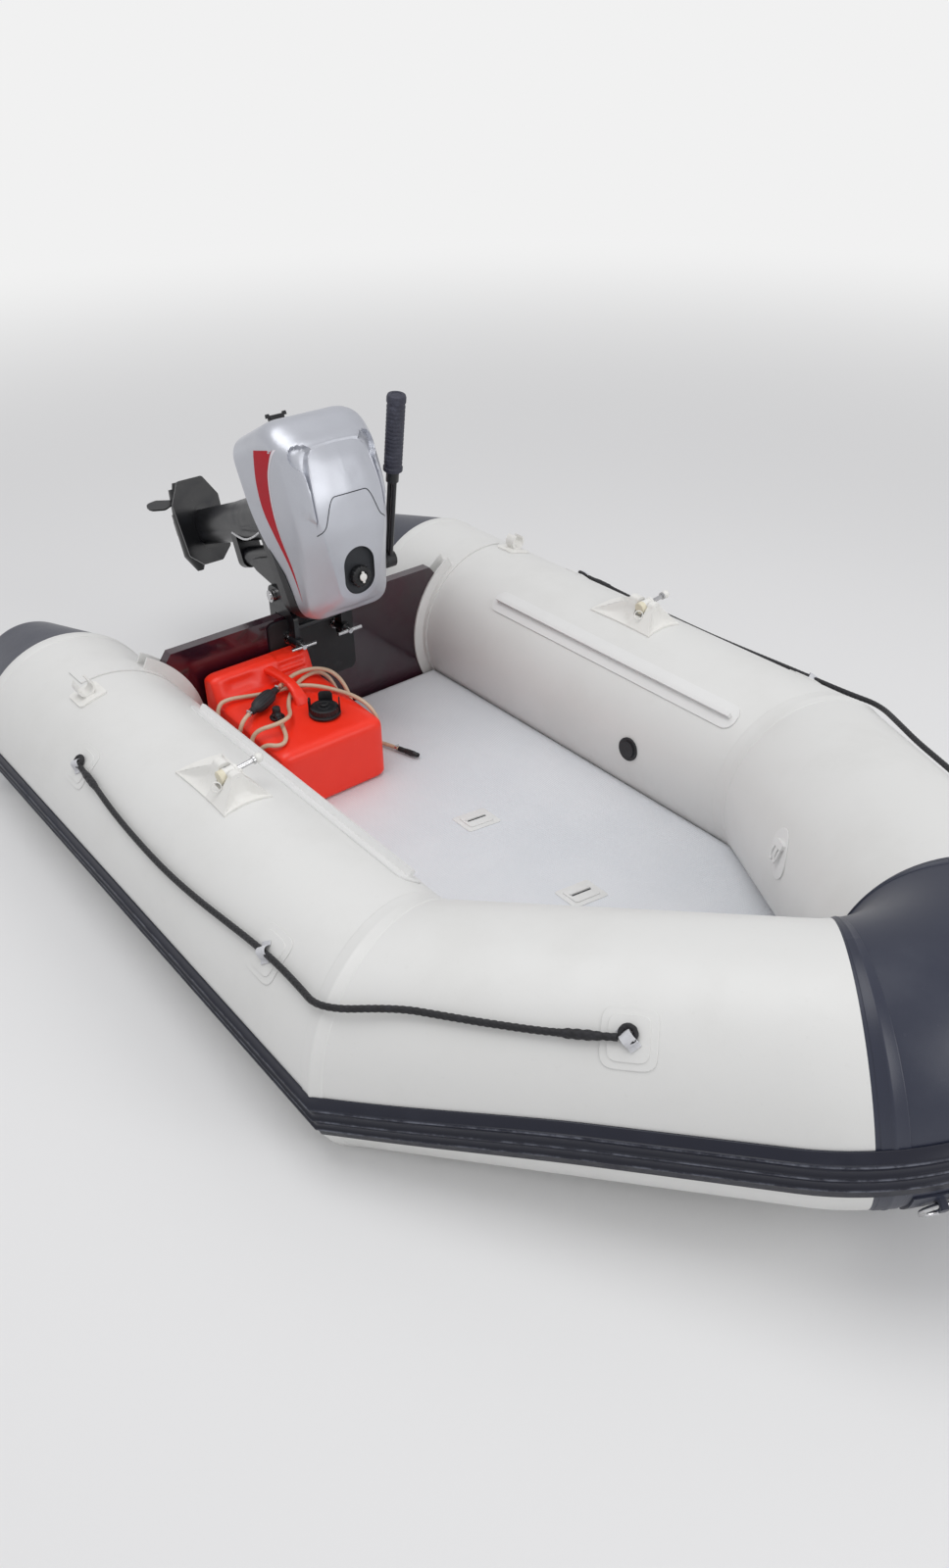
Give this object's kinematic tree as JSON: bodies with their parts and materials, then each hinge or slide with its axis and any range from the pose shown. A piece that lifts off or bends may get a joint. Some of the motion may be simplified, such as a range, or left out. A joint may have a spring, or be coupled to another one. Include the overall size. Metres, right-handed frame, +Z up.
{
  "type": "inflatable boat with outboard motor",
  "caption": "Small inflatable tender with grey tubes, navy bow and stern ends, air deck, transom, tilted outboard motor and a portable fuel tank.",
  "frame": {"origin": "middle of the footprint without the fuel hose, at the height of the undersides of the side tubes", "axes": "+X forward towards the bow, +Y to port, +Z up"},
  "size_m": [2.7179, 1.5366, 0.9377],
  "materials": {
    "tube_grey": "satin coated fabric, light warm grey",
    "navy": "satin coated fabric, dark navy",
    "strake": "satin moulded strake with three ribs, navy",
    "deck": "textured air deck, pale blue-grey",
    "keel_band": "matte keel band",
    "transom": "glossy black board",
    "black_plastic": "satin black moulding",
    "white_plastic": "satin off-white moulding",
    "steel": "bright steel",
    "cowl_silver": "metallic silver paint",
    "motor_black": "satin black casting",
    "engine_grey": "plain casting",
    "grip_rubber": "matte dark grey grip",
    "tank_red": "satin orange-red blown plastic",
    "hose": "beige fuel hose",
    "line_black": "braided black line"
  },
  "bodies": {
    "hull": {"side_tube_starboard": "tube_grey", "bow_tube_starboard": "tube_grey", "stern_cone_starboard": "navy", "rub_strake_starboard": "strake", "transom_holder_starboard": "tube_grey", "seat_rail_starboard": "tube_grey", "oarlock_base_starboard": "white_plastic", "side_tube_port": "tube_grey", "bow_tube_port": "tube_grey", "stern_cone_port": "navy", "rub_strake_port": "strake", "transom_holder_port": "tube_grey", "seat_rail_port": "tube_grey", "oarlock_base_port": "white_plastic", "bow_nose": "navy", "rub_strake_bow": "strake", "air_deck": "deck", "hull_bottom": "tube_grey", "transom_board": "transom", "transom_pads": "black_plastic", "transom_drain": "black_plastic", "oar_clips": "white_plastic", "tube_valves": "black_plastic", "deck_strap_patches": "deck", "keel_band": "keel_band", "line_patches": "tube_grey", "lifeline_starboard": "line_black", "lifeline_port": "line_black", "bow_handle": "black_plastic", "tow_patches": "navy", "tow_rings": "steel", "bow_loop_patches": "tube_grey", "clamp_bracket": "motor_black", "clamp_screws": "steel", "tilt_pin": "steel", "fuel_tank": "tank_red", "tank_cap": "black_plastic", "tank_pickup": "black_plastic", "fuel_hose": "hose", "primer_bulb": "black_plastic", "fuel_hose_outlet": "hose", "hose_connector": "black_plastic"},
    "swivel_bracket": {"swivel_bracket": "motor_black"},
    "motor": {"drive_leg": "motor_black", "gearcase": "motor_black", "lower_pan": "black_plastic", "engine_cowl": "cowl_silver", "engine_block": "engine_grey", "cowl_fuel_cap": "black_plastic", "cowl_latch": "black_plastic", "tiller_bracket": "motor_black"},
    "propeller": {"propeller": "motor_black"},
    "tiller": {"tiller_arm": "motor_black", "tiller_grip": "grip_rubber"},
    "oar_pin_starboard": {"oarlock_pin_starboard": "steel"},
    "oar_pin_port": {"oarlock_pin_port": "steel"}
  },
  "joints": [
    {"name": "motor_tilt", "type": "hinge", "parent": "hull", "child": "swivel_bracket", "pos_m": [-0.66536, 0, 0.45], "axis": [0, -1, 0], "range_deg": [0, 70]},
    {"name": "motor_steer", "type": "hinge", "parent": "swivel_bracket", "child": "motor", "pos_m": [-0.69443, 0, 0.52987], "axis": [0.9397, 0, 0.342], "range_deg": [-45, 45]},
    {"name": "propeller_spin", "type": "hinge", "parent": "motor", "child": "propeller", "pos_m": [-1.26751, 0, 0.46708], "axis": [0.342, 0, -0.9397], "continuous": true},
    {"name": "tiller_fold", "type": "hinge", "parent": "motor", "child": "tiller", "pos_m": [-0.50775, 0.16, 0.52865], "axis": [0, 1, 0], "range_deg": [0, 150]},
    {"name": "oar_pin_starboard_swing", "type": "hinge", "parent": "hull", "child": "oar_pin_starboard", "pos_m": [-0.02536, -0.55, 0.46], "axis": [1, 0, 0], "range_deg": [0, 165]},
    {"name": "oar_pin_port_swing", "type": "hinge", "parent": "hull", "child": "oar_pin_port", "pos_m": [-0.02536, 0.55, 0.46], "axis": [1, 0, 0], "range_deg": [0, 165]}
  ]
}
